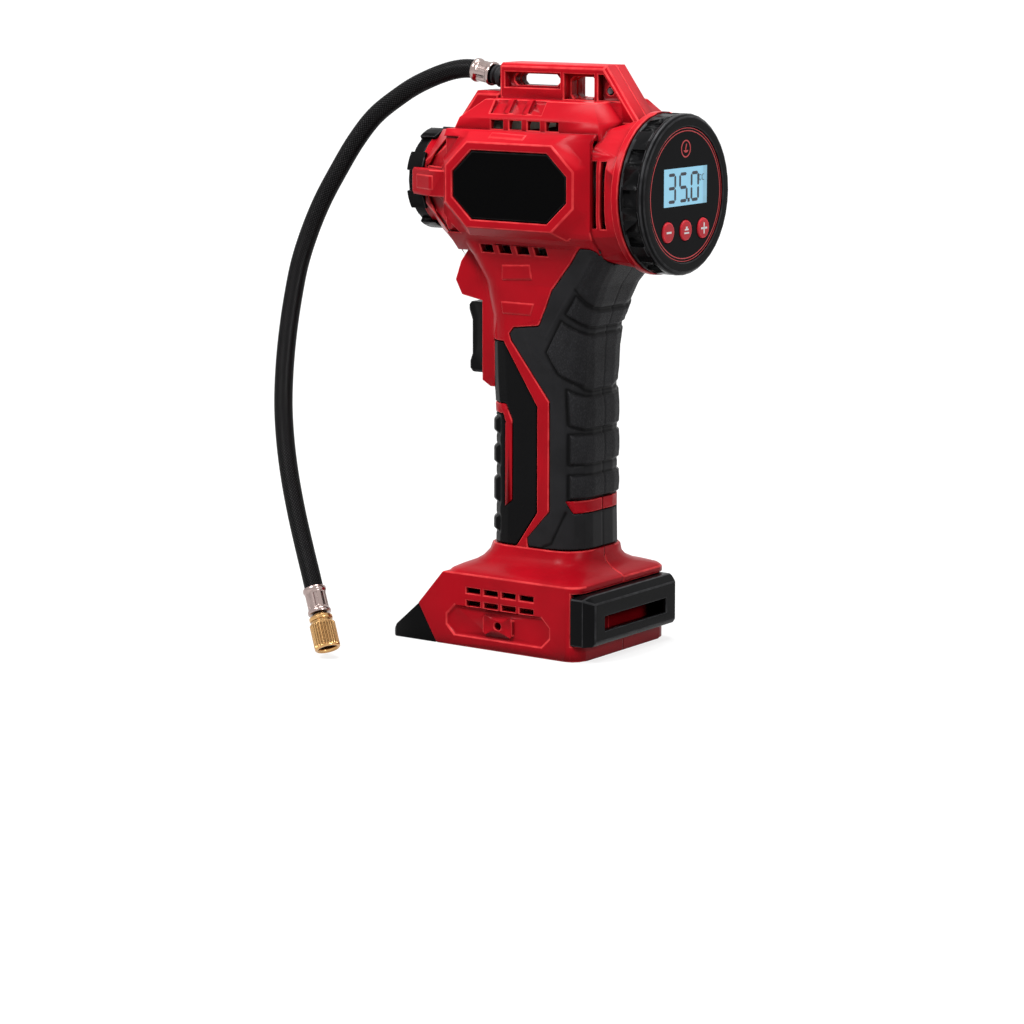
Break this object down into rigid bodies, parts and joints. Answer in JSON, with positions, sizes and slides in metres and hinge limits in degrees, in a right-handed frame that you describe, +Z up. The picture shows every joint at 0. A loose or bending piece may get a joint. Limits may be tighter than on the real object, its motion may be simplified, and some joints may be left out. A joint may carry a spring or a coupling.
{
  "type": "tire inflator",
  "caption": "Cordless pistol-grip tire inflator with a round digital gauge at the rear, a flexible hose with a valve chuck, and a foot that takes a slide-on battery.",
  "frame": {"origin": "centre of the body's box in X and Y, at the bottom of the foot, without the hose", "axes": "+X from the nose towards the gauge's face, +Y to the holder's right, +Z up"},
  "size_m": [0.1868, 0.1311, 0.2575],
  "materials": {
    "red_plastic": "satin moulded",
    "black_plastic": "fine matte texture",
    "gloss_black": "polished",
    "lcd_blue": "lit display",
    "board_green": "solder mask",
    "button_red": "satin",
    "rubber_grey": "grained",
    "seal_rubber": "smooth",
    "steel": "ground",
    "dark_steel": "black oxide",
    "aluminium": "die cast",
    "copper": "drawn copper tube",
    "brass": "turned",
    "nickel": "satin nickel",
    "white_nylon": "moulded",
    "lead_black": "soft sleeve",
    "lead_red": "soft sleeve"
  },
  "bodies": {
    "housing": {"housing_left": "red_plastic", "housing_right": "red_plastic", "screw_fin": "dark_steel", "screw_front_top": "dark_steel", "screw_rear": "dark_steel", "screw_neck": "dark_steel", "screw_grip": "dark_steel", "screw_foot": "dark_steel", "grip_rubber": "rubber_grey", "grip_front_cover": "black_plastic", "side_panel_left": "black_plastic", "side_panel_right": "black_plastic", "front_cap": "black_plastic", "foot_rear_cover": "black_plastic", "foot_toe_left": "black_plastic", "foot_toe_right": "black_plastic", "gauge_bezel": "black_plastic", "gauge_lens": "gloss_black", "lcd_module": "lcd_blue", "gauge_board": "board_green", "pressure_sensor": "black_plastic", "trigger_switch": "black_plastic", "trigger_spring": "steel", "motor_can": "steel", "motor_end_cap": "black_plastic", "motor_magnet": "dark_steel", "crank_bearing": "steel", "pump_frame": "aluminium", "cylinder": "aluminium", "head_gasket": "seal_rubber", "cylinder_head": "aluminium", "air_pipe": "copper", "sensor_pipe": "lead_black", "terminal_block": "black_plastic", "contact_positive": "brass", "contact_negative": "brass", "battery_lead_positive": "lead_red", "motor_lead_positive": "lead_red", "battery_lead_negative": "lead_black", "motor_lead_negative": "lead_black", "outlet_fitting": "nickel", "hose_boot": "seal_rubber", "hose_ferrule_top": "nickel", "hose": "rubber_grey", "hose_ferrule_end": "nickel", "valve_chuck": "brass", "chuck_seal": "seal_rubber"},
    "trigger": {"trigger": "black_plastic"},
    "button_minus": {"button_minus": "button_red"},
    "button_mode": {"button_mode": "button_red"},
    "button_plus": {"button_plus": "button_red"},
    "crank": {"crank_gear": "white_nylon", "crank_shaft": "steel", "crank_pin": "steel"},
    "rotor": {"motor_rotor": "dark_steel", "pinion": "steel"},
    "piston": {"piston": "aluminium", "piston_ring": "seal_rubber", "wrist_pin": "steel"},
    "connecting_rod": {"connecting_rod": "aluminium"}
  },
  "joints": [
    {"name": "trigger_slide", "type": "slide", "parent": "housing", "child": "trigger", "axis": [1, 0, 0], "range_m": [0, 0.006], "stiffness_N_per_m": 600, "deforming": ["trigger_spring"]},
    {"name": "button_minus_slide", "type": "slide", "parent": "housing", "child": "button_minus", "axis": [-1, 0, 0], "range_m": [0, 0.0006], "stiffness_N_per_m": 800},
    {"name": "button_mode_slide", "type": "slide", "parent": "housing", "child": "button_mode", "axis": [-1, 0, 0], "range_m": [0, 0.0006], "stiffness_N_per_m": 800},
    {"name": "button_plus_slide", "type": "slide", "parent": "housing", "child": "button_plus", "axis": [-1, 0, 0], "range_m": [0, 0.0006], "stiffness_N_per_m": 800},
    {"name": "crank_spin", "type": "hinge", "parent": "housing", "child": "crank", "pos_m": [0, 0, 0.1886], "axis": [1, 0, 0], "continuous": true},
    {"name": "motor_spin", "type": "hinge", "parent": "housing", "child": "rotor", "pos_m": [0, 0, 0.209], "axis": [1, 0, 0], "continuous": true},
    {"name": "piston_slide", "type": "slide", "parent": "housing", "child": "piston", "axis": [0, 0, 1], "range_m": [-0.014, 0]},
    {"name": "rod_swing", "type": "hinge", "parent": "piston", "child": "connecting_rod", "pos_m": [-0.0195, 0, 0.2196], "axis": [1, 0, 0], "range_deg": [-17, 17]}
  ],
  "couplings": [
    {"joint": "crank_spin", "follows": "motor_spin", "ratio": -0.275}
  ]
}
